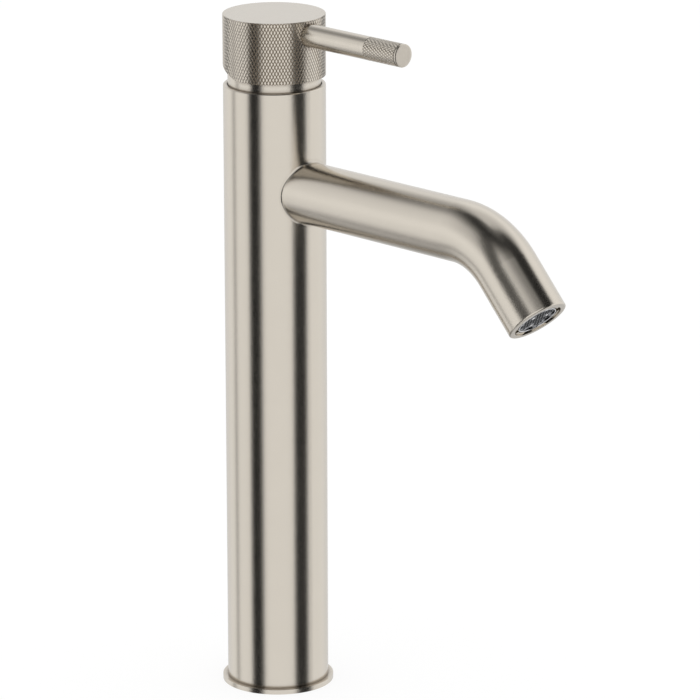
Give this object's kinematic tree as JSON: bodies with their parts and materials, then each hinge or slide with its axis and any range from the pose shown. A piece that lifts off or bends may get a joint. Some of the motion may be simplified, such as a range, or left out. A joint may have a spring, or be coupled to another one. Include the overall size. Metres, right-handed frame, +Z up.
{
  "type": "tall single-lever basin mixer",
  "caption": "Tall round single-lever basin mixer: tubular spout bent down at its end, recessed aerator, knurled cap that turns and tilts with a knurled lever pin.",
  "frame": {"origin": "centre of the foot's flat underside, on the deck", "axes": "+Z up along the column, +X the way the spout and the closed lever point"},
  "size_m": [0.1932, 0.0494, 0.3053],
  "materials": {
    "satin_nickel": "satin brushed warm nickel look",
    "brass": "bare machined brass",
    "copper_pipe": "bare drawn copper",
    "black_rubber": "matt sealing rubber",
    "white_plastic": "moulded plastic",
    "ceramic": "polished ceramic",
    "stainless": "machined stainless steel",
    "aerator_chrome": "polished",
    "grey_plastic": "moulded plastic"
  },
  "bodies": {
    "mixer": {"base_foot": "satin_nickel", "base_seal": "black_rubber", "column": "satin_nickel", "supply_pipe_hot": "copper_pipe", "supply_pipe_cold": "copper_pipe", "pipe_rings": "black_rubber", "valve_block": "brass", "spout": "satin_nickel", "spout_root_plug": "brass", "spout_union": "brass", "union_ring": "black_rubber", "aerator_seal": "black_rubber", "aerator_body": "aerator_chrome", "aerator_screen": "stainless", "flow_regulator": "grey_plastic", "aerator_grid": "grey_plastic", "cartridge_base": "white_plastic", "port_seals": "black_rubber", "fixed_disc": "ceramic", "cartridge_housing": "white_plastic", "cartridge_nut": "brass", "neck_bonnet": "satin_nickel"},
    "turret": {"rotary_guide": "white_plastic", "pivot_pin": "stainless", "limit_ring": "white_plastic"},
    "disc": {"moving_disc": "ceramic", "disc_carrier": "white_plastic"},
    "handle": {"handle_cap": "satin_nickel", "lever_pin": "satin_nickel", "grub_screw": "stainless", "valve_spindle": "stainless"}
  },
  "joints": [
    {"name": "handle_turn", "type": "hinge", "parent": "mixer", "child": "turret", "pos_m": [0, 0, 0.274], "axis": [0, 0, 1], "range_deg": [-50, 50]},
    {"name": "handle_lift", "type": "hinge", "parent": "turret", "child": "handle", "pos_m": [0, 0, 0.274], "axis": [0, -1, 0], "range_deg": [0, 24]},
    {"name": "disc_slide", "type": "slide", "parent": "turret", "child": "disc", "axis": [1, 0, 0], "range_m": [0, 0.00455]}
  ],
  "couplings": [
    {"joint": "disc_slide", "follows": "handle_lift", "m_per_rad": 0.0108}
  ]
}
